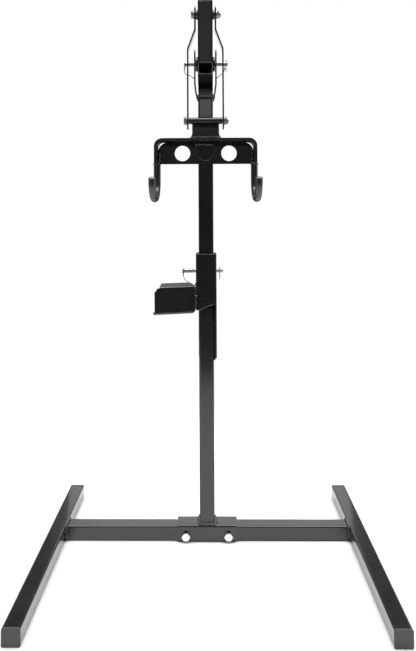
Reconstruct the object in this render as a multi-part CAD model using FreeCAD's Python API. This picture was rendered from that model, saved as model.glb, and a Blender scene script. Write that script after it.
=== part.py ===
import FreeCAD, Part
import math
import os

# A lift stand for a motorcycle: an H-shaped floor frame, a pinned telescopic post, and a crank lever
# on a fork that pulls a hook saddle up the post.  Millimetres.  X is to the right, Y to the back and
# Z up.  The pieces are drawn about the post's axis and moved on export, so that the origin is under
# the middle of the whole stand.

V = FreeCAD.Vector

# ---- driving dimensions ----
TUBE = 38.0                     # square tube of the rails, crossbar, posts, handle and crank
WALL = 2.5
TUBE_CORNER = 4.2
PLUG = TUBE - 2 * WALL - 0.2       # the part of a plastic cap that sits inside the tube
PLUG_CORNER = TUBE_CORNER - WALL + 0.2
RUN_GAP = 0.3                   # between faces of pieces that move past each other
FIT = 0.05                      # radial clearance of a pin in its bore

RAIL_X = 380.0                  # centre of each floor rail
FRONT_Y = -395.0
RAIL_BACK_Y = 210.0
CAP_PLATE = 3.0
CAP_REACH = 18.0

SADDLE_HALF = 76.0              # base saddle, the folded plate over the crossbar
SADDLE_PLATE = 5.0
SADDLE_BOLT_X = 54.0
SADDLE_BOLT_Z = 16.0

SLEEVE = 52.5
SLEEVE_WALL = 6.0
SLEEVE_TOP = 731.0
SLEEVE_LIP = (587.0, 607.0)     # lower edge of the front wall, left and right
SLEEVE_BOTTOM = 460.0
UPPER_POST_BOTTOM = 596.0
POST_HOLES = (686.0, 648.0, 610.0)
PIN_Z = POST_HOLES[0]
PIN_RADIUS = 4.75
PIN_HEAD_RADIUS = 7.0
CLIP_WIRE = 0.9

BRACKET_LENGTH = 104.0
BRACKET_DEPTH = 65.0
BRACKET_TOP = 651.5
BRACKET_HEIGHT = 71.0
BRACKET_PLATE = 4.0
BRACKET_TURN = 15.0             # degrees, left end towards the front
BRACKET_CORNER = V(-27.6, -28.0, 0)

FORK_BOTTOM = 1127.0
FORK_TOP = 1248.0
FORK_PLATE = 4.0
FORK_HALF = 28.5                # outer face of each arm
FORK_Y = (-38.0, 22.0)

PIVOT_Z = 1217.0
HANDLE_SLOPE = 25.0             # degrees below level, towards the back
HANDLE_LENGTH = 600.0
HANDLE_FRONT = V(0, -40.0, 1199.2)      # middle of the handle tube's front end
GRIP_LENGTH = 125.0
GRIP_PLATE = 2.0
GRIP_END = 7.0
CRANK_Y = -8.0
CRANK_TOP = 1377.0
CRANK_CAP = 6.0
CRANK_BOLT_Z = 1342.0

LINK_PLATE = 4.0
LINK_WIDTH = 25.0
LINK_ENDS = (23.0, 22.0)        # past the crank bolt and past the cross bolt
LINK_JOGGLE = (43.0, 94.0)      # below the crank bolt
LINK_TOP_X = 26.2               # middle of the strap beside the crank
LINK_LOW_X = 44.4               # middle of the strap beside the cross tube
CROSS_Y = -34.3
CROSS_Z = 1067.0
CROSS_TUBE_RADIUS = 8.25

BAR_HALF = 127.0                # saddle bar, outer face of each arm
BAR_PLATE = 7.0
BAR_TOP = 1020.0
BAR_BOTTOM = 958.0
BAR_Y = (-75.0, -20.0)
WEB_Y = (-25.0, -19.3)
WEB_BOTTOM = 959.0
WEB_HOLE_Z = 986.0

HOOK_RADIUS = 8.75
HOOK_X = 121.5
HOOK_Y = -45.0
HOOK_BEND = 45.0
HOOK_BOTTOM = 871.0
HOOK_TIP_LEAN = 10.0            # degrees, tip away from the post
HOOK_SPLAY = 3.0                # degrees, tips apart
HOOK_RISE = 51.0                # of the tip over the bend's lowest line

M10 = {"radius": 5.0, "flats": 17.0, "head": 6.4, "nut": 8.4, "washer": 10.0}
M12 = {"radius": 6.0, "flats": 19.0, "head": 7.5, "nut": 10.8, "washer": 12.0}
WASHER_PLATE = 1.5

LANYARD_RADIUS = 0.8

SLOPE = math.radians(HANDLE_SLOPE)
HANDLE_BACK_Y = (HANDLE_FRONT.y + (HANDLE_LENGTH + GRIP_END) * math.cos(SLOPE)
                 + (TUBE / 2 + GRIP_PLATE) * math.sin(SLOPE) - 1.5)
ON_FLOOR_CENTRE = V(0, -(FRONT_Y + HANDLE_BACK_Y) / 2, 0)


# ---- helpers ----
def export(name, *solids):
    """Write one node, moved so that the origin is under the middle of the stand."""
    shape = solids[0] if len(solids) == 1 else Part.makeCompound(list(solids))
    shape.translated(ON_FLOOR_CENTRE).exportStep("parts/" + name + ".step")


def block(x, y, z):
    """A box from three (low, high) pairs."""
    return Part.makeBox(x[1] - x[0], y[1] - y[0], z[1] - z[0], V(x[0], y[0], z[0]))


def rod(radius, start, end):
    """A round bar between two points."""
    run = end - start
    return Part.makeCylinder(radius, run.Length, start, run)


def across(radius, x0, x1, y, z):
    """A round bar along X."""
    return rod(radius, V(x0, y, z), V(x1, y, z))


def edges_along(shape, direction):
    """The straight edges of a shape that run along a direction."""
    return [e for e in shape.Edges
            if len(e.Vertexes) == 2 and e.tangentAt(e.FirstParameter).cross(direction).Length < 1e-6]


def square_bar(axis, centre, width, corner, low, high):
    """A square bar along an axis ("x", "y" or "z") with its long edges rounded."""
    spans = [(c - width / 2, c + width / 2) for c in centre]
    spans["xyz".index(axis)] = (low, high)
    bar = block(*spans)
    direction = V(*[1.0 if a == axis else 0.0 for a in "xyz"])
    return bar.makeFillet(corner, edges_along(bar, direction))


def square_tube(axis, centre, low, high, width=TUBE, wall=WALL, corner=TUBE_CORNER):
    """A square tube, open at both ends."""
    outside = square_bar(axis, centre, width, corner, low, high)
    inside = square_bar(axis, centre, width - 2 * wall, max(corner - wall, 0.5), low - 1, high + 1)
    return outside.cut(inside)


def rounded_path(points, radius=None):
    """Straight runs joined by tangent arcs, all of one radius or each as large as its runs allow."""
    edges = []
    radii = []
    start = points[0]
    for before, corner, after in zip(points, points[1:], points[2:]):
        run_in = corner - before
        run_out = after - corner
        half_turn = math.tan(run_in.getAngle(run_out) / 2)
        bend = radius or 0.45 * min(run_in.Length, run_out.Length) / half_turn
        reach = bend * half_turn
        run_in.normalize()
        run_out.normalize()
        arc_start = corner - run_in * reach
        arc_end = corner + run_out * reach
        inward = (run_out - run_in).normalize()
        sagitta = bend * (math.sqrt(1 + half_turn ** 2) - 1)
        if (arc_start - start).Length > 1e-6:
            edges.append(Part.LineSegment(start, arc_start).toShape())
        edges.append(Part.Arc(arc_start, corner + inward * sagitta, arc_end).toShape())
        radii.append(bend)
        start = arc_end
    edges.append(Part.LineSegment(start, points[-1]).toShape())
    return Part.Wire(edges), radii


def bent_rod(points, radius, bend=None):
    """A round bar or a cord along a rounded path."""
    path, radii = rounded_path(points, bend)
    first_run = points[1] - points[0]
    section = Part.Wire(Part.makeCircle(radius, points[0], first_run))
    return path.makePipeShell([section], True, False), path, radii


def bent_strip(points, plate, bend, width):
    """Flat bar folded along a path; the plate lies to the left of the path, then runs along width."""
    path, _ = rounded_path(points, bend)
    section = path.makeOffset2D(plate, 0, True, True, False)
    return section.extrude(width)


def outline_plate(points, thickness):
    """A flat plate from its corner points."""
    return Part.Face(Part.makePolygon(points + points[:1])).extrude(thickness)


def hexagon(flats, start, end):
    """A hexagon bar between two points, its far end chamfered."""
    run = end - start
    corner = flats / math.sqrt(3)
    points = [V(corner * math.cos(math.radians(a)), corner * math.sin(math.radians(a)), 0)
              for a in range(0, 360, 60)]
    prism = outline_plate(points, V(0, 0, run.Length))
    chamfer = Part.makeCone(flats / 2 + run.Length * 2, flats / 2 - 0.4, run.Length)
    prism = prism.common(chamfer)
    prism.Placement = FreeCAD.Placement(start, FreeCAD.Rotation(V(0, 0, 1), run))
    return prism


def washer(size, start, end):
    """A plain washer between two points on the bolt's axis."""
    run = (end - start).normalize()
    return rod(size["washer"], start, end).cut(rod(size["radius"] + FIT, start - run, end + run))


def bolt(size, head, tip):
    """A hexagon bolt; head is the bearing point under its head, tip the end of its thread."""
    run = (tip - head).normalize()
    return rod(size["radius"], head - run, tip).fuse(hexagon(size["flats"], head, head - run * size["head"]))


def lock_nut(size, start, direction):
    """A lock nut with its round collar, from its bearing face."""
    body_end = start + direction * size["nut"] * 0.72
    end = start + direction * size["nut"]
    nut = hexagon(size["flats"], start, body_end).fuse(rod(size["flats"] * 0.44, body_end - direction, end))
    return nut.cut(rod(size["radius"] + FIT, start - direction, end + direction))


# ---- floor frame ----
def rails_and_caps():
    for side, x in (("left", -RAIL_X), ("right", RAIL_X)):
        centre = (x, 0, TUBE / 2)
        rail = square_tube("y", centre, FRONT_Y + CAP_PLATE, RAIL_BACK_Y - CAP_PLATE)
        export(side + "_rail", rail)
        for end, face, inward in (("front", FRONT_Y, 1), ("back", RAIL_BACK_Y, -1)):
            plate = square_bar("y", centre, TUBE, TUBE_CORNER, *sorted((face, face + inward * CAP_PLATE)))
            ends = sorted((face + inward, face + inward * CAP_REACH))
            plug = square_bar("y", centre, PLUG, PLUG_CORNER, *ends)
            export(side + "_rail_" + end + "_cap", plate.fuse(plug))


def crossbar():
    bar = square_tube("x", (0, 0, TUBE / 2), -RAIL_X + TUBE / 2, RAIL_X - TUBE / 2)
    for x in (-SADDLE_BOLT_X, SADDLE_BOLT_X):
        bar = bar.cut(rod(M12["radius"] + 0.5, V(x, -TUBE, SADDLE_BOLT_Z), V(x, TUBE, SADDLE_BOLT_Z)))
    export("crossbar", bar)


def base_saddle():
    """A plate folded over the crossbar, with slots in its front flange and holes in the back one."""
    outer = TUBE / 2 + 0.4 + SADDLE_PLATE
    top = TUBE + RUN_GAP + SADDLE_PLATE
    bottom = 1.0
    path = [V(-SADDLE_HALF, outer, bottom), V(-SADDLE_HALF, outer, top),
            V(-SADDLE_HALF, -outer, top), V(-SADDLE_HALF, -outer, bottom)]
    plate = bent_strip(path, -SADDLE_PLATE, 6.0, V(2 * SADDLE_HALF, 0, 0))
    mask = block((-SADDLE_HALF, SADDLE_HALF), (-50, 50), (bottom, top + 5))
    mask = mask.makeFillet(7.0, [e for e in edges_along(mask, V(0, 1, 0)) if e.CenterOfMass.z < top])
    plate = plate.common(mask)
    top_mask = block((-SADDLE_HALF, SADDLE_HALF), (-outer, outer), (bottom - 1, top + 1))
    top_mask = top_mask.makeFillet(5.0, edges_along(top_mask, V(0, 0, 1)))
    plate = plate.common(top_mask.fuse(block((-SADDLE_HALF, SADDLE_HALF), (-50, 50), (0, top - 8))))
    for x in (-SADDLE_BOLT_X, SADDLE_BOLT_X):
        slot = rod(7.0, V(x, -outer - 1, SADDLE_BOLT_Z), V(x, 0, SADDLE_BOLT_Z))
        slot = slot.fuse(rod(7.0, V(x, -outer - 1, SADDLE_BOLT_Z + 6), V(x, 0, SADDLE_BOLT_Z + 6)))
        slot = slot.fuse(block((x - 7, x + 7), (-outer - 1, 0), (SADDLE_BOLT_Z, SADDLE_BOLT_Z + 6)))
        hole = rod(M12["radius"] + 0.5, V(x, 0, SADDLE_BOLT_Z), V(x, outer + 1, SADDLE_BOLT_Z))
        plate = plate.cut(slot).cut(hole)
    export("base_saddle", plate)


def saddle_fasteners():
    bolts, washers, nuts = [], [], []
    face = TUBE / 2 + 0.4 + SADDLE_PLATE
    for x in (-SADDLE_BOLT_X, SADDLE_BOLT_X):
        front = V(x, -face, SADDLE_BOLT_Z)
        back = V(x, face, SADDLE_BOLT_Z)
        behind_washer = back + V(0, WASHER_PLATE, 0)
        bolts.append(bolt(M12, front, back + V(0, 16, 0)))
        washers.append(washer(M12, back, behind_washer))
        nuts.append(lock_nut(M12, behind_washer, V(0, 1, 0)))
    export("base_bolts", *bolts)
    export("base_washers", *washers)
    export("base_lock_nuts", *nuts)


# ---- post ----
def posts():
    export("lower_post", square_tube("z", (0, 0, 0), TUBE + RUN_GAP + SADDLE_PLATE, UPPER_POST_BOTTOM - 4))
    upper = square_tube("z", (0, 0, 0), UPPER_POST_BOTTOM, FORK_BOTTOM)
    for z in POST_HOLES:
        upper = upper.cut(across(PIN_RADIUS + 0.2, -TUBE, TUBE, 0, z))
    export("upper_post", upper)


def post_sleeve():
    """Square sleeve whose front and left walls stop higher than the back and right walls."""
    sleeve = square_tube("z", (0, 0, 0), SLEEVE_BOTTOM, SLEEVE_TOP, SLEEVE, SLEEVE_WALL, 4.0)
    half = SLEEVE / 2
    rim = [e for e in sleeve.Edges if e.BoundBox.ZMin > SLEEVE_TOP - 0.1
           and e.CenterOfMass.sub(V(0, 0, SLEEVE_TOP)).Length > half - 2.5]
    sleeve = sleeve.makeFillet(2.0, rim)
    inner = half - SLEEVE_WALL
    low_left, low_right = SLEEVE_LIP
    away = [V(-half - 1, -half - 1, SLEEVE_BOTTOM - 1), V(half - 4, -half - 1, SLEEVE_BOTTOM - 1),
            V(half - 4, -half - 1, low_right), V(-half - 1, -half - 1, low_left)]
    sleeve = sleeve.cut(outline_plate(away, V(0, SLEEVE_WALL + 1.5, 0)))
    sleeve = sleeve.cut(block((-half - 1, -inner), (-half - 1, half + 1), (SLEEVE_BOTTOM - 1, low_left)))
    sleeve = sleeve.cut(block((inner, half + 1), (-half - 1, -half + 4), (SLEEVE_BOTTOM - 1, low_right)))
    foot = [V(half + 1, -half, SLEEVE_BOTTOM - 1), V(half + 1, -half, SLEEVE_BOTTOM + 9),
            V(half - 9, -half, SLEEVE_BOTTOM - 1)]
    sleeve = sleeve.cut(outline_plate(foot, V(0, SLEEVE, 0)))
    sleeve = sleeve.cut(across(PIN_RADIUS + 0.2, -SLEEVE, SLEEVE, 0, PIN_Z))
    export("post_sleeve", sleeve)


def shelf_bracket():
    """A channel of folded plate welded to the sleeve's left side, open to the back."""
    low = BRACKET_TOP - BRACKET_HEIGHT
    path = [V(0, BRACKET_DEPTH, BRACKET_TOP), V(0, 0, BRACKET_TOP), V(0, 0, low), V(0, 24, low)]
    channel = bent_strip(path, -BRACKET_PLATE, 6.0, V(-BRACKET_LENGTH, 0, 0))
    away = [V(-BRACKET_LENGTH - 1, -1, BRACKET_TOP + 1), V(-BRACKET_LENGTH + 12, -1, BRACKET_TOP + 1),
            V(-BRACKET_LENGTH + 11, -1, BRACKET_TOP), V(-BRACKET_LENGTH, -1, BRACKET_TOP - 15),
            V(-BRACKET_LENGTH - 1, -1, BRACKET_TOP - 15)]
    channel = channel.cut(outline_plate(away, V(0, BRACKET_DEPTH + 2, 0)))
    foot = [V(1, -1, low - 1), V(1, -1, low + 7), V(0, -1, low + 7), V(-7, -1, low), V(-7, -1, low - 1)]
    channel = channel.cut(outline_plate(foot, V(0, BRACKET_DEPTH, 0)))
    channel.rotate(V(0, 0, 0), V(0, 0, 1), BRACKET_TURN)
    channel.translate(BRACKET_CORNER)
    flange_end = BRACKET_CORNER.x - (BRACKET_LENGTH - 12) * math.cos(math.radians(BRACKET_TURN))
    flange_under = BRACKET_TOP - BRACKET_PLATE - 0.2
    channel = channel.cut(block((-200, flange_end), (-200, 80), (flange_under, BRACKET_TOP + 1)))
    export("shelf_bracket", channel.cut(block((-SLEEVE / 2, 50), (-60, 80), (500, 700))))


def locking_pin(z, head_x, tip_x, clip_x):
    """A round pin along X with a drilled head at the left and a clip hole near its tip."""
    pin = across(PIN_RADIUS, head_x, tip_x, 0, z)
    pin = pin.makeChamfer(1.5, [e for e in pin.Edges if e.CenterOfMass.x > tip_x - 0.1])
    head = across(PIN_HEAD_RADIUS, head_x - 4.5, head_x, 0, z)
    head = head.makeFillet(1.2, [e for e in head.Edges if len(e.Vertexes) == 1])
    return pin.fuse(head).cut(rod(CLIP_WIRE + 0.1, V(clip_x, 0, z - 20), V(clip_x, 0, z + 20)))


def spring_clip(x, z):
    """A hairpin clip whose straight leg runs through the pin, with an open bow at its lower end."""
    legs = [(0, 9.5), (0, -10), (3.0, -14.5), (-3.3, -21.5), (-9.6, -14.5), (-6.4, -7), (-6.4, 6), (-8.6, 10)]
    wire, _, _ = bent_rod([V(x, y, z + up) for y, up in legs], CLIP_WIRE, 2.5)
    return wire


def height_lock():
    export("height_pin", locking_pin(PIN_Z, -57.0, 43.0, 34.5))
    export("height_pin_clip", spring_clip(34.5, PIN_Z))
    export("lanyard_tab", block((-27.4, -20.4), (-36.0, -SLEEVE / 2), (619.5, 622.5)))


# ---- head ----
def fork_bracket():
    """A strap bent to a U that opens upwards, welded on the upper post."""
    path = [V(-FORK_HALF, FORK_Y[0], FORK_TOP), V(-FORK_HALF, FORK_Y[0], FORK_BOTTOM + 32),
            V(-FORK_HALF + 4, FORK_Y[0], FORK_BOTTOM), V(FORK_HALF - 4, FORK_Y[0], FORK_BOTTOM),
            V(FORK_HALF, FORK_Y[0], FORK_BOTTOM + 32), V(FORK_HALF, FORK_Y[0], FORK_TOP)]
    fork = bent_strip(path, FORK_PLATE, 10.0, V(0, FORK_Y[1] - FORK_Y[0], 0))
    mask = block((-40, 40), FORK_Y, (FORK_BOTTOM - 1, FORK_TOP))
    mask = mask.makeFillet(12.0, [e for e in edges_along(mask, V(1, 0, 0)) if e.CenterOfMass.z > PIVOT_Z])
    fork = fork.common(mask).cut(across(PIN_RADIUS + FIT, -40, 40, 0, PIVOT_Z))
    export("fork_bracket", fork)


def pivot():
    export("pivot_pin", locking_pin(PIVOT_Z, -50.5, 57.5, 53.0))
    export("pivot_pin_clip", spring_clip(53.0, PIVOT_Z))
    eye = Part.makeTorus(PIN_RADIUS + 1.0, 0.9, V(50.2, 0, PIVOT_Z - 1.0), V(1, 0, 0))
    export("lanyard_eye", eye.cut(across(PIN_RADIUS, 40, 60, 0, PIVOT_Z)))
    bush = across(7.5, -TUBE / 2, TUBE / 2, 0, PIVOT_Z)
    export("pivot_bush", bush.cut(across(PIN_RADIUS + FIT, -TUBE, TUBE, 0, PIVOT_Z)))
    outer = FORK_HALF - FORK_PLATE - RUN_GAP
    for side, sign in (("left", -1), ("right", 1)):
        disc = across(18.0, *sorted((sign * TUBE / 2, sign * outer)), 0, PIVOT_Z)
        export("pivot_spacer_" + side, disc.cut(across(PIN_RADIUS + FIT, -40, 40, 0, PIVOT_Z)))


def on_handle(shape):
    """Moves a shape drawn along +Y from the origin to the handle's slope."""
    shape.rotate(V(0, 0, 0), V(1, 0, 0), -HANDLE_SLOPE)
    shape.translate(HANDLE_FRONT)
    return shape


def lever():
    """The handle tube with its grip, and the crank tube that is coped to stand on it."""
    level = (0, 0, 0)
    export("handle_tube", on_handle(square_tube("y", level, 0, HANDLE_LENGTH)))
    grip_back = HANDLE_LENGTH + GRIP_END
    grip = square_bar("y", level, TUBE + 2 * GRIP_PLATE, 6.0, grip_back - GRIP_LENGTH, grip_back)
    grip = grip.makeFillet(3.0, [e for e in grip.Edges if e.CenterOfMass.y > grip_back - 0.1])
    bore = square_bar("y", level, TUBE + 0.1, TUBE_CORNER, 0, HANDLE_LENGTH + 0.1)
    export("handle_grip", on_handle(grip.cut(bore)))
    crank = square_tube("z", (0, CRANK_Y, 0), HANDLE_FRONT.z - 14, CRANK_TOP - CRANK_CAP)
    crank = crank.cut(on_handle(square_bar("y", level, TUBE, TUBE_CORNER, 0, 100)))
    crank = crank.cut(across(7.5, -TUBE, TUBE, 0, PIVOT_Z))
    export("crank_tube", crank.cut(across(M10["radius"] + FIT, -TUBE, TUBE, CRANK_Y, CRANK_BOLT_Z)))
    cap = square_bar("z", (0, CRANK_Y, 0), TUBE, TUBE_CORNER, CRANK_TOP - CRANK_CAP, CRANK_TOP)
    cap = cap.makeFillet(CRANK_CAP - 1.8, [e for e in cap.Edges if e.CenterOfMass.z > CRANK_TOP - 0.1])
    plug = square_bar("z", (0, CRANK_Y, 0), PLUG, PLUG_CORNER, CRANK_TOP - CAP_REACH, CRANK_TOP - 5)
    export("crank_cap", cap.fuse(plug))


def crank_joint():
    """The bolt through the crank and both links, with its spacers, washers and lock nut."""
    spacer_end = LINK_TOP_X - LINK_PLATE / 2 - RUN_GAP
    washer_in = LINK_TOP_X + LINK_PLATE / 2 + RUN_GAP
    washer_out = washer_in + WASHER_PLATE
    here = [V(x, CRANK_Y, CRANK_BOLT_Z) for x in (-washer_out, -washer_in, washer_in, washer_out)]
    export("crank_bolt", bolt(M10, here[0], V(washer_out + 10, CRANK_Y, CRANK_BOLT_Z)))
    export("crank_washers", washer(M10, here[0], here[1]), washer(M10, here[2], here[3]))
    export("crank_lock_nut", lock_nut(M10, here[3], V(1, 0, 0)))
    for side, sign in (("left", -1), ("right", 1)):
        ends = sorted((sign * TUBE / 2, sign * spacer_end))
        spacer = across(11.5, *ends, CRANK_Y, CRANK_BOLT_Z)
        spacer = spacer.cut(across(M10["radius"] + FIT, -40, 40, CRANK_Y, CRANK_BOLT_Z))
        export("crank_spacer_" + side, spacer)


def links():
    """Two flat straps with a joggle, hanging from the crank bolt and leaning forwards."""
    lean = math.atan2(CRANK_Y - CROSS_Y, CRANK_BOLT_Z - CROSS_Z)
    reach = (CRANK_BOLT_Z - CROSS_Z) / math.cos(lean)
    end = LINK_WIDTH / 2
    upper_end, lower_end = LINK_ENDS
    top_x = LINK_TOP_X - LINK_PLATE / 2
    low_x = LINK_LOW_X - LINK_PLATE / 2
    path = [V(top_x, -end, upper_end), V(top_x, -end, -LINK_JOGGLE[0]),
            V(low_x, -end, -LINK_JOGGLE[1]), V(low_x, -end, -reach - lower_end)]
    strap = bent_strip(path, LINK_PLATE, 12.0, V(0, LINK_WIDTH, 0))
    round_ends = (upper_end - end, end - lower_end - reach)
    shape = across(end, 0, 60, 0, round_ends[0]).fuse(across(end, 0, 60, 0, round_ends[1]))
    shape = shape.fuse(block((0, 60), (-end, end), (round_ends[1], round_ends[0])))
    strap = strap.common(shape)
    for height in (0, -reach):
        strap = strap.cut(across(M10["radius"] + FIT, 0, 60, 0, height))
    strap.rotate(V(0, 0, 0), V(1, 0, 0), -math.degrees(lean))
    strap.translate(V(0, CRANK_Y, CRANK_BOLT_Z))
    export("link_right", strap)
    export("link_left", strap.mirror(V(0, 0, 0), V(1, 0, 0)))


# ---- hook saddle ----
def cross_joint():
    """The cross tube of the saddle and the long bolt on which the links turn."""
    tube_end = LINK_LOW_X - LINK_PLATE / 2 - RUN_GAP
    washer_in = LINK_LOW_X + LINK_PLATE / 2 + RUN_GAP
    washer_out = washer_in + WASHER_PLATE
    tube = across(CROSS_TUBE_RADIUS, -tube_end, tube_end, CROSS_Y, CROSS_Z)
    export("cross_tube", tube.cut(across(M10["radius"] + 0.3, -60, 60, CROSS_Y, CROSS_Z)))
    here = [V(x, CROSS_Y, CROSS_Z) for x in (-washer_out, -washer_in, washer_in, washer_out)]
    export("cross_bolt", bolt(M10, here[0], V(washer_out + 10, CROSS_Y, CROSS_Z)))
    export("cross_washers", washer(M10, here[0], here[1]), washer(M10, here[2], here[3]))
    export("cross_lock_nut", lock_nut(M10, here[3], V(1, 0, 0)))


def neck_plate():
    """A plate from the saddle bar to the cross tube, flared where it is welded on the bar."""
    half, flare, top = 34.0, 19.0, CROSS_Z - 3
    y = -26.0
    foot = BAR_TOP
    edges = [Part.LineSegment(V(-half, y, top), V(half, y, top)),
             Part.LineSegment(V(half, y, top), V(half, y, foot + flare)),
             Part.Arc(V(half, y, foot + flare), V(half + flare * 0.293, y, foot + flare * 0.293),
                      V(half + flare, y, foot)),
             Part.LineSegment(V(half + flare, y, foot), V(-half - flare, y, foot)),
             Part.Arc(V(-half - flare, y, foot), V(-half - flare * 0.293, y, foot + flare * 0.293),
                      V(-half, y, foot + flare)),
             Part.LineSegment(V(-half, y, foot + flare), V(-half, y, top))]
    export("neck_plate", Part.Face(Part.Wire([e.toShape() for e in edges])).extrude(V(0, 6, 0)))


def saddle_bar():
    """Flat bar bent down at both ends."""
    path = [V(-BAR_HALF, BAR_Y[0], BAR_BOTTOM), V(-BAR_HALF, BAR_Y[0], BAR_TOP),
            V(BAR_HALF, BAR_Y[0], BAR_TOP), V(BAR_HALF, BAR_Y[0], BAR_BOTTOM)]
    export("saddle_bar", bent_strip(path, -BAR_PLATE, 20.0, V(0, BAR_Y[1] - BAR_Y[0], 0)))


def web_plate():
    """The plate that bears on the post, with two large holes and a ringed one."""
    half = BAR_HALF - BAR_PLATE
    web = block((-half, half), WEB_Y, (WEB_BOTTOM, BAR_TOP - BAR_PLATE))
    web = web.makeFillet(22.0, [e for e in edges_along(web, V(0, 1, 0)) if e.CenterOfMass.z > WEB_HOLE_Z])
    for x, radius in ((-59, 19.75), (59, 19.75), (0, 15.5)):
        web = web.cut(rod(radius, V(x, -30, WEB_HOLE_Z), V(x, -10, WEB_HOLE_Z)))
    export("web_plate", web)
    ring = rod(18.0, V(0, -31, WEB_HOLE_Z), V(0, WEB_Y[0], WEB_HOLE_Z))
    export("centre_ring", ring.cut(rod(15.5, V(0, -40, WEB_HOLE_Z), V(0, -10, WEB_HOLE_Z))))


def hooks():
    """J hooks of round bar, butted on the saddle bar's arms, tips leaning out and forwards."""
    lean = math.radians(HOOK_TIP_LEAN)
    foot_y = HOOK_Y - HOOK_BEND - HOOK_BEND * math.tan((math.pi / 2 - lean) / 2)
    tip = V(0, foot_y - HOOK_Y - HOOK_RISE * math.tan(lean), HOOK_BOTTOM + HOOK_RISE)
    points = [V(0, 0, BAR_BOTTOM), V(0, 0, HOOK_BOTTOM), V(0, foot_y - HOOK_Y, HOOK_BOTTOM), tip]
    for side, sign in (("left", -1), ("right", 1)):
        hook, _, _ = bent_rod(points, HOOK_RADIUS, HOOK_BEND)
        tip_edge = [e for e in hook.Edges if (e.CenterOfMass - tip).Length < 1.0]
        hook = hook.makeChamfer(3.0, tip_edge)
        hook.rotate(V(0, 0, 0), V(0, 0, 1), sign * HOOK_SPLAY)
        hook.translate(V(sign * HOOK_X, HOOK_Y, 0))
        export("hook_" + side, hook)


# ---- lanyards, which keep the loose pins with the stand ----
def lanyards():
    routes = {
        "height_lanyard": [(-59.5, 0, 678.6), (-58.5, -4, 671.0), (-52.5, -15, 662.5), (-41.0, -28, 657.5),
                           (-31.5, -33.0, 652.0), (-26.5, -33.2, 641.0), (-24.5, -33.0, 622.7)],
        "pivot_lanyard_left": [(-53.0, 0, 1209.6), (-55.5, 3, 1201.0), (-50.0, 5, 1190.0),
                               (-41.0, 4, 1189.5), (-34.0, 1, 1184.0), (-28.9, -2, 1180.0)],
        "pivot_lanyard_right": [(50.2, 0, 1208.5), (49.0, 2, 1202.0), (44.0, 5, 1194.0),
                                (36.5, 5, 1188.5), (29.0, 1, 1182.0)],
    }
    for name, points in routes.items():
        cord, path, radii = bent_rod([V(*p) for p in points], LANYARD_RADIUS)
        section = math.pi * LANYARD_RADIUS ** 2
        print(name, "length", round(path.Length, 1), "radii", [round(r, 1) for r in radii],
              "volume ratio", round(cord.Volume / (section * path.Length), 4))
        export(name, cord)


os.makedirs("parts", exist_ok=True)
rails_and_caps()
crossbar()
base_saddle()
saddle_fasteners()
posts()
post_sleeve()
shelf_bracket()
height_lock()
fork_bracket()
pivot()
lever()
crank_joint()
links()
cross_joint()
neck_plate()
saddle_bar()
web_plate()
hooks()
lanyards()
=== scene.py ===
import math
import random

import bmesh
import bpy
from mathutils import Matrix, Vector


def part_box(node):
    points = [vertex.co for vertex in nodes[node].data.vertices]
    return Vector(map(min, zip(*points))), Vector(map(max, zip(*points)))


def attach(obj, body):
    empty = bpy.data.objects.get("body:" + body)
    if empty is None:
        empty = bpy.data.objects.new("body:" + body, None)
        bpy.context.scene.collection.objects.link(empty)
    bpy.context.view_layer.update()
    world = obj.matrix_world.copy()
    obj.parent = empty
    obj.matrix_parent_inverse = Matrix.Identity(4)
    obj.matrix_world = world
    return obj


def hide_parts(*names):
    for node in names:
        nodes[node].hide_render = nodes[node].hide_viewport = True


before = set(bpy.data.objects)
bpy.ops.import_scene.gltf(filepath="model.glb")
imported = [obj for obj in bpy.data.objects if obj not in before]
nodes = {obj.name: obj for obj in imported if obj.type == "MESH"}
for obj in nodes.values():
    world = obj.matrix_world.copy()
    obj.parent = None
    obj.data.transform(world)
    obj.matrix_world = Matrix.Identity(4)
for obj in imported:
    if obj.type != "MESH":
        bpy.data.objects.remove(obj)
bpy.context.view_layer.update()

# ---- Camera ----
# The stand is seen from the hook side, a step and a half away and level with the saddle's hooks.
# The lens is shifted down instead of tilted, so the post stays upright.
MM = 0.001
CAMERA_PLACE = (8.8, -1578.6, 860.7)
CAMERA_LENS = 33.91
CAMERA_SHIFT = (0.0088, -0.1885)
CAMERA_YAW = 0.0116
CAMERA_ROLL = 0.0041
post_low, post_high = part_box("upper_post")
POST_Y = (post_low.y + post_high.y) / 2


def at(x, y, z):
    """A place given in millimetres from the post's axis at the floor."""
    return Vector((x * MM, y * MM + POST_Y, z * MM))


def linked(name, data):
    """A new object in the scene."""
    made = bpy.data.objects.new(name, data)
    bpy.context.scene.collection.objects.link(made)
    return made


camera_data = bpy.data.cameras.new("camera")
camera = linked("camera", camera_data)
camera_data.lens = CAMERA_LENS
camera_data.shift_x, camera_data.shift_y = CAMERA_SHIFT
camera_data.clip_start = 0.05
camera.location = at(*CAMERA_PLACE)
camera.rotation_euler = (math.radians(90), CAMERA_ROLL, CAMERA_YAW)
bpy.context.scene.camera = camera
bpy.context.scene.view_settings.view_transform = "Standard"

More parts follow.
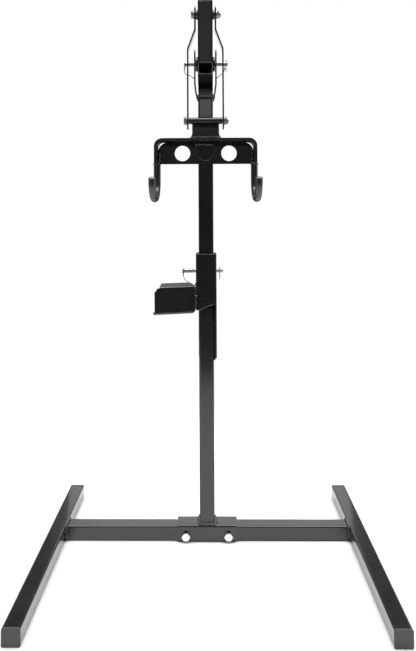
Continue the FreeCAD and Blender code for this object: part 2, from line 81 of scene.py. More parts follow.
# ---- Lanyards ----
# A thin braided steel wire ties each loose pin to the stand.  It hangs in a slack bow, and each end
# is held in a small crimped ferrule.
LANYARD_RADIUS = 0.8 * MM
# The groove colour is painted shade: the wire is coloured dark between its strands, where shade falls.
WIRE_GROOVE_SHADE = (0.02, 0.02, 0.02)
WIRE_STRAND = (0.13, 0.13, 0.135)
LANYARD_ROUTES = {
    "height_lanyard": (83.4, [(-59.5, 0, 678.6), (-58.5, -4, 671.0), (-52.5, -15, 662.5),
                              (-41.0, -28, 657.5), (-31.5, -33.0, 652.0), (-26.5, -33.2, 641.0),
                              (-24.5, -33.0, 622.7)]),
    "pivot_lanyard_left": (46.0, [(-53.0, 0, 1209.6), (-55.5, 3, 1201.0), (-50.0, 5, 1190.0),
                                  (-41.0, 4, 1189.5), (-34.0, 1, 1184.0), (-28.9, -2, 1180.0)]),
    "pivot_lanyard_right": (36.5, [(50.2, 0, 1208.5), (49.0, 2, 1202.0), (44.0, 5, 1194.0),
                                   (36.5, 5, 1188.5), (29.0, 1, 1182.0)]),
}


def shader_node(tree, kind, inputs=(), **settings):
    """A shader node with its settings, its sockets set to values or linked to other sockets."""
    made = tree.nodes.new(kind)
    for key, value in settings.items():
        setattr(made, key, value)
    for socket, value in dict(inputs).items():
        if isinstance(value, bpy.types.NodeSocket):
            tree.links.new(value, made.inputs[socket])
        else:
            made.inputs[socket].default_value = value
    return made


def new_material(name, **sockets):
    """A material with one Principled shader, and its node tree and shader."""
    material = bpy.data.materials.new(name)
    material.use_nodes = True
    shader = material.node_tree.nodes["Principled BSDF"]
    for socket, value in sockets.items():
        shader.inputs[socket.replace("_", " ")].default_value = value
    return material, material.node_tree, shader


def new_group(name, inputs, outputs):
    """An empty node group with float inputs, and its node tree, input and output nodes."""
    group = bpy.data.node_groups.new(name, "ShaderNodeTree")
    for label, value in inputs.items():
        socket = group.interface.new_socket(label, in_out="INPUT", socket_type="NodeSocketFloat")
        socket.default_value = value
    for label in outputs:
        group.interface.new_socket(label, in_out="OUTPUT", socket_type="NodeSocketFloat")
    ins = group.nodes.new("NodeGroupInput").outputs
    outs = group.nodes.new("NodeGroupOutput").inputs
    return group, ins, outs


def maths(tree, operation, first, second):
    """One sum of two values or sockets."""
    return shader_node(tree, "ShaderNodeMath", {0: first, 1: second}, operation=operation).outputs[0]


def noise(tree, place, scale, **settings):
    """Noise of 0 to 1 over the object's own coordinates."""
    inputs = {"Vector": place, "Scale": scale}
    inputs.update({key.capitalize(): value for key, value in settings.items()})
    return shader_node(tree, "ShaderNodeTexNoise", inputs).outputs["Fac"]


def spread(tree, value, low, high, to_low=0.0, to_high=1.0):
    """A value from low to high, taken to another range and held at its ends."""
    limits = {"Value": value, "From Min": low, "From Max": high, "To Min": to_low, "To Max": to_high}
    return shader_node(tree, "ShaderNodeMapRange", limits).outputs["Result"]


def object_place(tree):
    """The place on the piece, in its own coordinates."""
    return shader_node(tree, "ShaderNodeTexCoord").outputs["Object"]


def grey_ramp(tree, value, *stops):
    """A colour ramp over a value; each stop is (place, colour)."""
    ramp = shader_node(tree, "ShaderNodeValToRGB", {"Fac": value})
    elements = ramp.color_ramp.elements
    while len(elements) < len(stops):
        elements.new(0.5)
    for element, (place, colour) in zip(elements, stops):
        element.position = place
        element.color = (*colour, 1)
    return ramp.outputs["Color"]


def wire_material():
    """Braided steel wire: slanted strands, with painted shade in the grooves between them."""
    material, tree, shader = new_material("lanyard_wire", Metallic=0.85, Roughness=0.34)
    waves = {"Vector": object_place(tree), "Scale": 260.0, "Distortion": 1.0}
    strands = shader_node(tree, "ShaderNodeTexWave", waves, bands_direction="DIAGONAL").outputs["Fac"]
    bump = shader_node(tree, "ShaderNodeBump", {"Height": strands, "Strength": 0.7, "Distance": 0.2 * MM})
    colour = grey_ramp(tree, strands, (0.15, WIRE_GROOVE_SHADE), (0.75, WIRE_STRAND))
    tree.links.new(colour, shader.inputs["Base Color"])
    tree.links.new(bump.outputs["Normal"], shader.inputs["Normal"])
    return material


wire = wire_material()


def lanyard(name, route):
    """One lanyard as a smooth wire along its route."""
    curve = bpy.data.curves.new(name + "_wire", "CURVE")
    curve.dimensions = "3D"
    spline = curve.splines.new("NURBS")
    spline.points.add(len(route) - 1)
    for point, place in zip(spline.points, route):
        point.co = (*at(*place), 1)
    spline.order_u = 3
    spline.use_endpoint_u = True
    spline.resolution_u = 12
    curve.bevel_depth = LANYARD_RADIUS
    curve.bevel_resolution = 3
    curve.use_fill_caps = True
    curve.materials.append(wire)
    cord = linked(name + "_wire", curve)
    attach(cord, "stand")
    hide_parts(name)


for lanyard_name, (lanyard_length, lanyard_route) in LANYARD_ROUTES.items():
    lanyard(lanyard_name, lanyard_route)

# ---- Floor and light ----
# A pale floor, fading out at its edges, under a large overhead softbox; a lower softbox behind the
# stand lights the gloss on the base.  The room is dim, so the upright faces stay black.
FLOOR_HALF = 2.6
FLOOR_FRONT = -1.75
FLOOR_BACK = 0.95
FLOOR_FADE = 0.4
FLOOR_DULL = (0.86, 0.86, 0.86)
FLOOR_BRIGHT = (0.89, 0.89, 0.89)
DIM_ROOM = (0.06, 0.06, 0.062)
PALE_ROOM = (1.0, 1.0, 1.0)


def pale_floor():
    """The floor, a sheet that fades out towards its edges."""
    mesh = bpy.data.meshes.new("pale_floor")
    outline = [(-FLOOR_HALF, FLOOR_FRONT, 0), (FLOOR_HALF, FLOOR_FRONT, 0),
               (FLOOR_HALF, FLOOR_BACK, 0), (-FLOOR_HALF, FLOOR_BACK, 0)]
    mesh.from_pydata(outline, [], [(0, 1, 2, 3)])
    material, tree, shader = new_material("pale_floor", Roughness=0.8, Specular_IOR_Level=0.2)
    place = object_place(tree)
    mottle = noise(tree, place, 3.0, detail=3.0)
    colour = grey_ramp(tree, mottle, (0.3, FLOOR_DULL), (0.7, FLOOR_BRIGHT))
    tree.links.new(colour, shader.inputs["Base Color"])
    x, y, _ = shader_node(tree, "ShaderNodeSeparateXYZ", {"Vector": place}).outputs
    shown = 1.0
    edges = ((x, FLOOR_HALF, -1), (x, -FLOOR_HALF, 1), (y, FLOOR_FRONT, 1), (y, FLOOR_BACK, -1))
    for across, edge, inward in edges:
        shown = maths(tree, "MULTIPLY", spread(tree, across, edge, edge + inward * FLOOR_FADE), shown)
    tree.links.new(shown, shader.inputs["Alpha"])
    mesh.materials.append(material)
    linked("pale_floor", mesh)


def softbox(name, place, aim, size, power):
    """A rectangular studio light, out of the camera's sight; metres and watts."""
    light = bpy.data.lights.new(name, "AREA")
    light.shape = "RECTANGLE"
    light.size, light.size_y = size
    light.energy = power
    lamp = linked(name, light)
    lamp.location = place
    lamp.rotation_mode = "QUATERNION"
    lamp.rotation_quaternion = (Vector(aim) - Vector(place)).to_track_quat("-Z", "Y")
    lamp.visible_camera = False


def studio_world():
    """Pale to the camera, and dim to the stand."""
    world = bpy.data.worlds.new("studio")
    bpy.context.scene.world = world
    world.use_nodes = True
    tree = world.node_tree
    dim = tree.nodes["Background"]
    dim.inputs["Color"].default_value = (*DIM_ROOM, 1)
    pale = shader_node(tree, "ShaderNodeBackground", {"Color": (*PALE_ROOM, 1)})
    seen = shader_node(tree, "ShaderNodeLightPath").outputs["Is Camera Ray"]
    either = shader_node(tree, "ShaderNodeMixShader", {0: seen, 1: dim.outputs[0], 2: pale.outputs[0]})
    tree.links.new(either.outputs[0], tree.nodes["World Output"].inputs["Surface"])


pale_floor()
softbox("overhead_softbox", place=(0, -0.2, 3.4), aim=(0, -0.2, 0), size=(5.0, 2.5), power=245)
softbox("back_softbox", place=(0, 3.2, 1.74), aim=(0, 0, 0.6), size=(2.25, 0.72), power=6.6)
softbox("right_softbox", place=(2.2, 0.9, 1.05), aim=(0, 0, 0.95), size=(2.8, 1.5), power=18)
softbox("left_softbox", place=(-2.2, 0.9, 1.05), aim=(0, 0, 0.95), size=(2.8, 1.5), power=8)
softbox("front_strip", place=(0, -4.4, 1.78), aim=(0, 0, 1.1), size=(1.6, 0.2), power=2.2)
softbox("front_high_softbox", place=(0, -4.4, 2.6), aim=(0, 0, 1.3), size=(2.6, 0.9), power=1.6)
studio_world()

# ---- Black powder coat on the steelwork ----
# Tubes, plates and bars are mild steel, sprayed with black powder and baked after welding.  The coat
# is glossy with a fine orange peel, rubbed grey on sharp edges and dusty where it faces up.  The
# handle's coat is satin.
POWDER_NODES = [
    "left_rail", "right_rail", "crossbar", "base_saddle", "lower_post", "upper_post", "post_sleeve",
    "shelf_bracket", "lanyard_tab", "fork_bracket", "crank_tube", "pivot_spacer_left",
    "pivot_spacer_right", "crank_spacer_left", "crank_spacer_right", "link_left", "link_right",
    "cross_tube", "neck_plate", "saddle_bar", "web_plate", "centre_ring",
]
POWDER_DARK = (0.0062, 0.0062, 0.0066)
POWDER_LIGHT = (0.0100, 0.0100, 0.0106)
RUBBED_POWDER = (0.085, 0.085, 0.088)
FLOOR_DUST = (0.16, 0.155, 0.15)


def orange_peel_group():
    """Height of a sprayed and baked coat: fine peel over slow waves, and a slow tone of 0 to 1."""
    group, ins, outs = new_group("orange_peel", {"Peel Scale": 900.0, "Wave Scale": 90.0, "Wave": 0.5},
                                 ("Height", "Tone"))
    place = object_place(group)
    peel = noise(group, place, ins["Peel Scale"], detail=2.0)
    wave = noise(group, place, ins["Wave Scale"], detail=1.0)
    tone = noise(group, place, 14.0, detail=4.0, roughness=0.6)
    group.links.new(maths(group, "ADD", peel, maths(group, "MULTIPLY", wave, ins["Wave"])), outs["Height"])
    group.links.new(tone, outs["Tone"])
    return group


def rounded_normal(tree, radius):
    """The surface's normal with its sharp edges softened."""
    return shader_node(tree, "ShaderNodeBevel", {"Radius": radius}, samples=6).outputs["Normal"]


def edge_rub_group():
    """1 on sharp edges that are handled and knocked, broken up by noise, and 0 elsewhere."""
    group, ins, outs = new_group("edge_rub", {"Width": 1.2 * MM, "Amount": 0.6}, ("Mask",))
    rounded = rounded_normal(group, ins["Width"])
    face = shader_node(group, "ShaderNodeNewGeometry").outputs["Normal"]
    alike = shader_node(group, "ShaderNodeVectorMath", {0: rounded, 1: face}, operation="DOT_PRODUCT")
    edge = spread(group, alike.outputs["Value"], 0.995, 0.86)
    patches = noise(group, object_place(group), 55.0, detail=5.0)
    mask = maths(group, "MULTIPLY", edge, spread(group, patches, 0.42, 0.62))
    group.links.new(maths(group, "MULTIPLY", mask, ins["Amount"]), outs["Mask"])
    return group


def settled_dust_group():
    """Dust on faces that look up, thicker in patches."""
    group, ins, outs = new_group("settled_dust", {"Amount": 0.3, "Patch Scale": 30.0}, ("Mask",))
    normal = shader_node(group, "ShaderNodeNewGeometry").outputs["Normal"]
    up = shader_node(group, "ShaderNodeSeparateXYZ", {"Vector": normal}).outputs["Z"]
    patches = noise(group, object_place(group), ins["Patch Scale"], detail=6.0)
    patchy = maths(group, "MULTIPLY", spread(group, up, 0.55, 0.98), patches)
    group.links.new(maths(group, "MULTIPLY", patchy, ins["Amount"]), outs["Mask"])
    return group


orange_peel = orange_peel_group()
edge_rub = edge_rub_group()
settled_dust = settled_dust_group()


def placed(tree, group, **inputs):
    """A node group placed in a material, with its own values."""
    made = shader_node(tree, "ShaderNodeGroup", node_tree=group)
    for socket, value in inputs.items():
        made.inputs[socket.replace("_", " ")].default_value = value
    return made.outputs


def mixed(tree, factor, first, second):
    """A colour between two, by a mask."""
    mix = shader_node(tree, "ShaderNodeMix", data_type="RGBA")
    for socket, value in (("Factor_Float", factor), ("A_Color", first), ("B_Color", second)):
        target = next(s for s in mix.inputs if s.identifier == socket)
        if isinstance(value, bpy.types.NodeSocket):
            tree.links.new(value, target)
        else:
            target.default_value = (*value, 1)
    return next(s for s in mix.outputs if s.identifier == "Result_Color")


def relief(tree, shader, height, strength, distance, normal=None):
    """Raises fine relief on a surface."""
    inputs = {"Height": height, "Strength": strength, "Distance": distance * MM}
    if normal:
        inputs["Normal"] = normal
    bump = shader_node(tree, "ShaderNodeBump", inputs)
    tree.links.new(bump.outputs["Normal"], shader.inputs["Normal"])


def powder_coat(name, roughness, peel_scale=900.0, wave=0.8, wave_scale=90.0, bump=0.10, rub=0.3,
                dust=0.05, soft_edge=0.9, gloss=0.65, gloss_roughness=0.06, painted_light_gain=1.0):
    """Black powder coat; a rough, wavy one serves for painted welds.  A gain lightens its black, painting
    light into lighter copies of the same coat.
    """
    material, tree, shader = new_material(name, Specular_IOR_Level=0.5, Coat_IOR=1.5,
                                          Coat_Roughness=gloss_roughness)
    peel = placed(tree, orange_peel, Peel_Scale=peel_scale, Wave_Scale=wave_scale, Wave=wave)
    rubbed = placed(tree, edge_rub, Amount=rub)["Mask"]
    dusty = placed(tree, settled_dust, Amount=dust)["Mask"]
    # Painted light: the gain lightens the black for copies of the coat that should look lit.
    dark = tuple(painted_light_gain * value for value in POWDER_DARK)
    light = tuple(painted_light_gain * value for value in POWDER_LIGHT)
    worn = mixed(tree, rubbed, grey_ramp(tree, peel["Tone"], (0.3, dark), (0.7, light)), RUBBED_POWDER)
    tree.links.new(mixed(tree, dusty, worn, FLOOR_DUST), shader.inputs["Base Color"])
    smooth = spread(tree, peel["Tone"], 0.3, 0.7, roughness - 0.03, roughness + 0.05)
    rough = maths(tree, "ADD", smooth, maths(tree, "MULTIPLY", dusty, 0.5))
    rough = maths(tree, "ADD", rough, maths(tree, "MULTIPLY", rubbed, 0.1))
    tree.links.new(rough, shader.inputs["Roughness"])
    clean = maths(tree, "SUBTRACT", gloss, maths(tree, "MULTIPLY", dusty, 1.5))
    tree.links.new(clean, shader.inputs["Coat Weight"])
    relief(tree, shader, peel["Height"], bump, 0.3, rounded_normal(tree, soft_edge * MM))
    return material


def finish(names, material):
    """Gives CAD nodes their material."""
    for name in names:
        node = nodes[name]
        node.data.materials.clear()
        node.data.materials.append(material)


finish(POWDER_NODES, powder_coat("black_powder_coat", roughness=0.24, wave=0.5, bump=0.06))
finish(["handle_tube"], powder_coat("handle_powder_coat", roughness=0.65, rub=0.0, gloss=0.0))

# ---- Hooks ----
# Two J hooks of hot-bent round bar, butted and welded under the saddle bar's arms.  Their coat is duller
# than the tubes', and it is rubbed through to grey steel inside the bend, where the load sits.  Their
# black is painted lighter than the tubes', as painted light.
hook_low, hook_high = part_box("hook_left")
HOOK_BEND = 45.0 * MM
HOOK_BAR = 8.75 * MM
BARE_STEEL = (0.12, 0.118, 0.115)


def hook_coat():
    """Powder coat, rubbed inside the bend of both hooks."""
    # Painted light: the hooks' black is lightened two and a half times, so they read as lit.
    material = powder_coat("hook_powder_coat", roughness=0.36, peel_scale=700.0, wave=1.0, bump=0.14,
                           rub=0.7, gloss_roughness=0.2, painted_light_gain=2.5)
    tree = material.node_tree
    shader = tree.nodes["Principled BSDF"]
    place = object_place(tree)
    bend_y = hook_high.y - HOOK_BAR - HOOK_BEND
    bend_z = hook_low.z + HOOK_BAR + HOOK_BEND
    offset = shader_node(tree, "ShaderNodeVectorMath", {0: place, 1: (0, bend_y, bend_z)},
                         operation="SUBTRACT")
    flat = shader_node(tree, "ShaderNodeVectorMath", {0: offset.outputs[0], 1: (0, 1, 1)},
                       operation="MULTIPLY")
    reach = shader_node(tree, "ShaderNodeVectorMath", {0: flat.outputs[0]}, operation="LENGTH")
    inside = spread(tree, reach.outputs["Value"], HOOK_BEND - 0.4 * HOOK_BAR,
                    HOOK_BEND - 0.95 * HOOK_BAR)
    height = shader_node(tree, "ShaderNodeSeparateXYZ", {"Vector": place}).outputs["Z"]
    low = spread(tree, height, bend_z - 0.2 * HOOK_BEND, bend_z - 0.7 * HOOK_BEND)
    broken = spread(tree, noise(tree, place, 120.0, detail=6.0), 0.38, 0.58)
    bare = maths(tree, "MULTIPLY", maths(tree, "MULTIPLY", inside, low), broken)
    painted = shader.inputs["Base Color"].links[0].from_socket
    tree.links.new(mixed(tree, bare, painted, BARE_STEEL), shader.inputs["Base Color"])
    tree.links.new(maths(tree, "MULTIPLY", bare, 0.6), shader.inputs["Metallic"])
    return material


finish(["hook_left", "hook_right"], hook_coat())

# ---- Welds ----
# The steelwork is joined with hand-laid MIG beads, painted over with the rest.  Each bead is a run
# of overlapping puddles, so its sides scallop and its crown ripples.  Their black is painted lighter
# than the tubes', as painted light on the beads.
random.seed(11)
# Painted light: the beads' black is lightened twice over, so their lumps read as lit.
weld_paint = powder_coat("painted_weld", roughness=0.3, peel_scale=420.0, wave=1.6, wave_scale=160.0,
                         bump=0.35, rub=0.8, dust=0.2, soft_edge=0.3, gloss=0.9, gloss_roughness=0.12,
                         painted_light_gain=2.0)
PUDDLE = 3.4 * MM
WELD_STEPS = 5
WELD_SIDES = 10
RAIL_FACE = 359.6
HOOK_X = 121.5
HOOK_Y = -45.0
CRANK_PIN = (-8.0, 1342.0)
PIVOT_PIN = (0, 1217.0)


def spaced(points, step, closed):
    """Points at even distances along straight runs."""
    corners = list(points) + (list(points[:1]) if closed else [])
    total = sum((b - a).length for a, b in zip(corners, corners[1:]))
    count = max(4, round(total / step))
    places = []
    travelled, run = 0.0, 0
    for index in range(count + (0 if closed else 1)):
        wanted = min(total * index / count, total - 1e-9)
        while wanted > travelled + (corners[run + 1] - corners[run]).length:
            travelled += (corners[run + 1] - corners[run]).length
            run += 1
        start, end = corners[run], corners[run + 1]
        places.append(start.lerp(end, (wanted - travelled) / max((end - start).length, 1e-9)))
    return places


def square_to(direction):
    """A direction's unit vector, and two more square to it and to each other."""
    axis = Vector(direction).normalized()
    side = axis.orthogonal().normalized()
    return axis, side, axis.cross(side)


def turns(count):
    """Even angles around a circle."""
    return [2 * math.pi * k / count for k in range(count)]


def loft(name, body, material, rings, closed=False, smooth=True):
    """A skin over rings of points, capped unless it closes on itself; it rides on a body."""
    mesh = bmesh.new()
    rings = [[mesh.verts.new(point) for point in ring] for ring in rings]
    sides = len(rings[0])
    for first, second in list(zip(rings, rings[1:])) + ([(rings[-1], rings[0])] if closed else []):
        shift = min(range(sides), key=lambda s: (first[0].co - second[s].co).length)
        for k in range(sides):
            mesh.faces.new((first[k], first[(k + 1) % sides], second[(k + 1 + shift) % sides],
                            second[(k + shift) % sides]))
    if not closed:
        mesh.faces.new(rings[0][::-1])
        mesh.faces.new(rings[-1])
    bmesh.ops.recalc_face_normals(mesh, faces=mesh.faces)
    data = bpy.data.meshes.new(name)
    mesh.to_mesh(data)
    mesh.free()
    if smooth:
        data.shade_smooth()
    data.materials.append(material)
    skin = linked(name, data)
    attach(skin, body)
    return skin


def weld_bead(name, body, points, radius, closed=False):
    """A rippled bead along a path given in millimetres from the post's axis."""
    places = spaced([at(*p) for p in points], PUDDLE / WELD_STEPS, closed)
    count = len(places)
    rings = []
    wander = [random.uniform(-0.2, 0.2) for _ in range(count // WELD_STEPS + 2)]
    swell = [random.uniform(0.8, 1.22) for _ in range(count // WELD_STEPS + 2)]
    for index, place in enumerate(places):
        ahead = places[(index + 1) % count] if closed else places[min(index + 1, count - 1)]
        behind = places[index - 1] if closed else places[max(index - 1, 0)]
        _, side, up = square_to(ahead - behind)
        puddle, phase = divmod(index, WELD_STEPS)
        size = radius * MM * swell[puddle] * (0.84 + 0.24 * math.sin(math.pi * phase / WELD_STEPS))
        if not closed:
            size *= min(1.0, 0.45 + 0.3 * min(index, count - 1 - index))
        centre = place + side * wander[puddle] * radius * MM
        rings.append([centre + (side * math.cos(turn) + up * math.sin(turn)) * size
                      for turn in turns(WELD_SIDES)])
    loft(name, body, weld_paint, rings, closed)


def square_loop(half, z, cut=3.0):
    """The outline of a square tube with its corners cut, at one height."""
    inner = half - cut
    return [(-inner, -half, z), (inner, -half, z), (half, -inner, z), (half, inner, z),
            (inner, half, z), (-inner, half, z), (-half, inner, z), (-half, -inner, z)]


def ring_about_x(x, y, z, radius, count=28):
    """A circle about a line along X."""
    return [(x, y + radius * math.cos(turn), z + radius * math.sin(turn)) for turn in turns(count)]


def ring_about_y(x, y, z, radius, count=36):
    """A circle about a line along Y."""
    return [(x + radius * math.cos(turn), y, z + radius * math.sin(turn)) for turn in turns(count)]


weld_bead("post_foot_weld", "stand", square_loop(20.4, 44.4, 1.5), 3.9, closed=True)
for side, sign in (("left", -1), ("right", 1)):
    rail_loop = ((-20.0, 5), (-20.0, 36), (-17, 38.6), (17, 38.6), (20.0, 36), (20.0, 5))
    weld_bead(side + "_rail_weld", "stand", [(sign * RAIL_FACE, y, z) for y, z in rail_loop], 3.6)
    weld_bead(side + "_arm_weld", "saddle", [(sign * 118.4, -26.4, 962), (sign * 118.0, -26.8, 991)],
              4.4)
    hook_loop = [(sign * HOOK_X + 9.0 * math.cos(turn), HOOK_Y + 9.0 * math.sin(turn), 957.6)
                 for turn in turns(20)]
    weld_bead(side + "_hook_weld", "saddle", hook_loop, 1.5, closed=True)
    weld_bead("crank_spacer_weld_" + side, "lever", ring_about_x(sign * 19.3, *CRANK_PIN, 11.6), 1.3,
              closed=True)
    weld_bead("pivot_spacer_weld_" + side, "lever", ring_about_x(sign * 19.4, *PIVOT_PIN, 18.0, 40),
              1.3, closed=True)
weld_bead("bracket_weld_front", "stand", [(-27.2, -27.4, 592), (-27.0, -27.4, 648)], 2.2)
weld_bead("bracket_weld_top", "stand", [(-27.0, -26.0, 651.0), (-27.0, 24.0, 651.0)], 2.0)
weld_bead("sleeve_foot_weld", "stand",
          [(20.6, -16, 461.0), (20.6, 19, 460.6), (19, 20.6, 460.6), (-19, 20.6, 460.6)], 2.4)
weld_bead("sleeve_lip_weld", "stand", [(-19.5, -21.4, 588.4), (19.5, -21.4, 605.2)], 2.2)
weld_bead("fork_weld", "stand", square_loop(19.4, 1125.8), 2.2, closed=True)
weld_bead("cross_tube_weld", "saddle", [(-32.0, -28.4, 1057.0), (31.0, -28.6, 1056.4)], 4.0)
weld_bead("neck_foot_weld", "saddle", [(-38.0, -28.6, 1024.6), (36.0, -28.6, 1025.4)], 4.6)
weld_bead("web_top_weld", "saddle", [(-28.0, -27.4, 1009.6), (21.0, -27.4, 1009.0)], 4.6)
weld_bead("ring_weld", "saddle", ring_about_y(0, -25.4, 986.0, 18.4), 1.5, closed=True)
weld_bead("crank_foot_weld", "lever", [(-17.5, -27.4, 1214.6), (17.5, -27.4, 1214.6)], 1.8)

# ---- Zinc-plated bolts, nuts, washers, pins and clips ----
# Off-the-shelf hardware with a bright zinc plate, faintly blue, cloudy where it was barrel plated.
# The base's bolts are painted near white as painted light, and bolts' ends show their threads past the
# lock nuts.
ZINC_NODES = [
    "base_washers", "base_lock_nuts", "crank_bolt", "crank_washers", "crank_lock_nut",
    "cross_bolt", "cross_washers", "cross_lock_nut", "height_pin", "height_pin_clip", "pivot_pin",
    "pivot_pin_clip", "lanyard_eye", "pivot_bush",
]
RUBBED_ZINC = (0.85, 0.85, 0.86)
THREAD_SIDES = 20
FERRULE_RADIUS = 1.7 * MM
FERRULE_LENGTH = 5.0 * MM
FERRULE_SIDES = 16
FERRULE_PROFILE = ((-0.5, 0.72), (-0.44, 0.95), (-0.22, 1.0), (-0.10, 0.82), (0.10, 0.82), (0.22, 1.0),
                   (0.44, 0.95), (0.5, 0.72))


def zinc_plate(name, dull, bright):
    """Zinc plate: cloudy grey-blue metal between a dull and a bright tone, rubbed on its edges."""
    material, tree, shader = new_material(name, Metallic=1.0)
    place = object_place(tree)
    cloud = noise(tree, place, 180.0, detail=4.0)
    spangle = shader_node(tree, "ShaderNodeTexVoronoi", {"Vector": place, "Scale": 700.0})
    rubbed = placed(tree, edge_rub, Amount=0.8, Width=0.6 * MM)["Mask"]
    colour = grey_ramp(tree, cloud, (0.3, dull), (0.7, bright))
    tree.links.new(mixed(tree, rubbed, colour, RUBBED_ZINC), shader.inputs["Base Color"])
    tree.links.new(spread(tree, cloud, 0.3, 0.7, 0.24, 0.42), shader.inputs["Roughness"])
    relief(tree, shader, spangle.outputs["Distance"], 0.12, 0.1, rounded_normal(tree, 0.4 * MM))
    return material


zinc = zinc_plate("zinc_plate", (0.26, 0.265, 0.28), (0.44, 0.445, 0.46))
finish(ZINC_NODES, zinc)
# Painted light: the base's bolts get a near-white copy of the zinc, so they read as brightly lit.
finish(["base_bolts"], zinc_plate("painted_bright_zinc_plate", (0.78, 0.785, 0.80), (0.95, 0.95, 0.96)))


def thread_end(name, body, start, direction, radius, pitch, length):
    """The helical thread ridge on a bolt's end, in millimetres from the post's axis."""
    axis, side, up = square_to(direction)
    base = at(*start)
    steps = int(length / pitch * THREAD_SIDES)
    rows = []
    for step in range(steps + 1):
        turn = 2 * math.pi * step / THREAD_SIDES
        out = side * math.cos(turn) + up * math.sin(turn)
        fade = min(1.0, step / 6, (steps - step) / 6)
        centre = base + axis * (pitch * step / THREAD_SIDES) * MM
        crest = 0.05 + 0.26 * fade
        outline = ((-0.36 * pitch, -0.2), (-0.05 * pitch, crest - 0.2), (0.05 * pitch, crest - 0.2),
                   (0.36 * pitch, -0.2), (0, -0.5))
        rows.append([centre + axis * offset * MM + out * (radius + height) * MM
                     for offset, height in outline])
    loft(name, body, zinc, rows, smooth=False)


for side, x in (("left", -54.0), ("right", 54.0)):
    thread_end("base_thread_" + side, "stand", (x, 36.9, 16.0), (0, 1, 0), 6.0, 1.75, 2.6)
thread_end("crank_thread", "lever", (38.5, -8.0, 1342.0), (1, 0, 0), 5.0, 1.5, 1.2)
thread_end("cross_thread", "saddle", (56.7, -34.3, 1067.0), (1, 0, 0), 5.0, 1.5, 1.2)


def ferrule(name, body, place, direction):
    """A crimped tube on a lanyard's end: a lathed sleeve pinched at its middle."""
    axis, side, up = square_to(direction)
    rings = []
    for along, wide in FERRULE_PROFILE:
        centre = at(*place) + axis * along * FERRULE_LENGTH
        flat = 0.8 + 0.2 * wide
        rings.append([centre + (side * math.cos(turn) + up * math.sin(turn) * flat) * FERRULE_RADIUS * wide
                      for turn in turns(FERRULE_SIDES)])
    loft(name, body, zinc, rings)


for lanyard_name, (_, lanyard_route) in LANYARD_ROUTES.items():
    for end, first, second in (("top", 0, 1), ("foot", -1, -2)):
        tip = Vector(lanyard_route[first])
        inward = (Vector(lanyard_route[second]) - tip).normalized()
        ferrule(lanyard_name + "_ferrule_" + end, "stand", tip + inward * 3.2, inward)

# ---- Plastic caps ----
# Moulded black polyethylene plugs close the rails' ends and the top of the crank.  They are duller
# than the paint, with a fine spark-eroded grain.
CAP_NODES = [
    "left_rail_front_cap", "left_rail_back_cap", "right_rail_front_cap", "right_rail_back_cap",
    "crank_cap",
]
CAP_DARK = (0.050, 0.050, 0.050)
CAP_LIGHT = (0.070, 0.070, 0.070)
CAP_SCUFF = (0.10, 0.10, 0.10)
CAP_DUST = (0.17, 0.165, 0.16)


def cap_plastic():
    """Black moulded plastic with a fine grain and pale scuffs on its edges."""
    material, tree, shader = new_material("cap_plastic", Specular_IOR_Level=0.5)
    grain = placed(tree, orange_peel, Peel_Scale=1600.0, Wave_Scale=500.0, Wave=0.8)
    rubbed = placed(tree, edge_rub, Amount=0.6, Width=1.6 * MM)["Mask"]
    dusty = placed(tree, settled_dust, Amount=0.08)["Mask"]
    black = grey_ramp(tree, grain["Tone"], (0.3, CAP_DARK), (0.7, CAP_LIGHT))
    scuffed = mixed(tree, rubbed, black, CAP_SCUFF)
    tree.links.new(mixed(tree, dusty, scuffed, CAP_DUST), shader.inputs["Base Color"])
    tree.links.new(spread(tree, grain["Tone"], 0.0, 1.0, 0.36, 0.56), shader.inputs["Roughness"])
    relief(tree, shader, grain["Height"], 0.2, 0.15, rounded_normal(tree, 1.0 * MM))
    return material


finish(CAP_NODES, cap_plastic())

# ---- Handle grip ----
# A moulded rubber sleeve pushed on the end of the sloping handle, ribbed around for the hand, with
# a raised collar at its mouth and a closed, rounded end.
HANDLE_SLOPE = math.radians(25.0)
HANDLE_FRONT = (0, -40.0, 1199.2)
GRIP_FROM = 482.0
GRIP_HALF = 21.0
GRIP_RIBS = 13
GRIP_CORNER = 6.0
GROOVE_HALF = 19.7
RIBS_FROM = 10.0
RIBS_TO = 112.0
GRIP_END = 121.0
GRIP_ROUNDING = 4.0
END_STEPS = 5
GRIP_DARK = (0.006, 0.006, 0.006)
GRIP_LIGHT = (0.012, 0.012, 0.0115)
GRIP_DUST = (0.11, 0.105, 0.10)


def rounded_square(half, corner, arc_steps=5):
    """Points of a rounded square, as (across, up) pairs in millimetres."""
    inner = half - corner
    points = []
    for quarter, (sx, sy) in enumerate(((1, 1), (-1, 1), (-1, -1), (1, -1))):
        for step in range(arc_steps + 1):
            turn = math.radians(90 * quarter + 90 * step / arc_steps)
            points.append((sx * inner + corner * math.cos(turn), sy * inner + corner * math.sin(turn)))
    return points


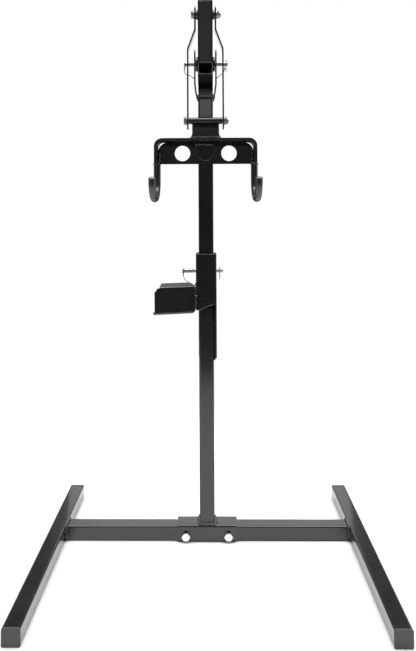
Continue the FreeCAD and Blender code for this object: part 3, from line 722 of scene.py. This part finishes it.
def grip_profile():
    """(place along the grip, half width, corner) from the collar to the closed end."""
    stations = [(0.0, 19.4, 4.6), (0.2, 20.4, 5.4), (1.2, GRIP_HALF, GRIP_CORNER),
                (6.0, GRIP_HALF, GRIP_CORNER), (7.4, 20.2, 5.4)]
    rib_shape = ((0.0, GROOVE_HALF), (0.12, GROOVE_HALF), (0.24, 20.6), (0.36, 20.95), (0.64, 20.95),
                 (0.76, 20.6), (0.88, GROOVE_HALF))
    pitch = (RIBS_TO - RIBS_FROM) / GRIP_RIBS
    for rib in range(GRIP_RIBS):
        start = RIBS_FROM + rib * pitch
        stations += [(start + share * pitch, half, GRIP_CORNER - 0.4) for share, half in rib_shape]
    stations += [(113.0, 19.9, 5.6), (114.2, GRIP_HALF, GRIP_CORNER), (GRIP_END, GRIP_HALF, GRIP_CORNER)]
    for step in range(1, END_STEPS + 1):
        turn = math.radians(90 * step / END_STEPS)
        stations.append((GRIP_END + GRIP_ROUNDING * math.sin(turn),
                         GRIP_HALF - GRIP_ROUNDING * (1 - math.cos(turn)), GRIP_CORNER - 1.0))
    return stations


def grip_rubber():
    """Black rubber: matt, finely pitted, greyed by dust in the grooves."""
    material, tree, shader = new_material("grip_rubber", Specular_IOR_Level=0.12)
    grain = placed(tree, orange_peel, Peel_Scale=1300.0, Wave_Scale=300.0, Wave=1.0)
    dusty = placed(tree, settled_dust, Amount=0.2, Patch_Scale=60.0)["Mask"]
    black = grey_ramp(tree, grain["Tone"], (0.3, GRIP_DARK), (0.7, GRIP_LIGHT))
    tree.links.new(mixed(tree, dusty, black, GRIP_DUST), shader.inputs["Base Color"])
    tree.links.new(spread(tree, grain["Tone"], 0.0, 1.0, 0.62, 0.86), shader.inputs["Roughness"])
    relief(tree, shader, grain["Height"], 0.35, 0.2)
    return material


def handle_grip():
    """The ribbed grip as one closed loft over the handle's end."""
    along = Vector((0, math.cos(HANDLE_SLOPE), -math.sin(HANDLE_SLOPE)))
    up = Vector((0, math.sin(HANDLE_SLOPE), math.cos(HANDLE_SLOPE)))
    rings = []
    for place, half, corner in grip_profile():
        centre = at(*HANDLE_FRONT) + along * (GRIP_FROM + place) * MM
        rings.append([centre + Vector((x * MM, 0, 0)) + up * y * MM
                      for x, y in rounded_square(half, corner)])
    grip = loft("ribbed_grip", "lever", grip_rubber(), rings)
    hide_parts("handle_grip")


handle_grip()
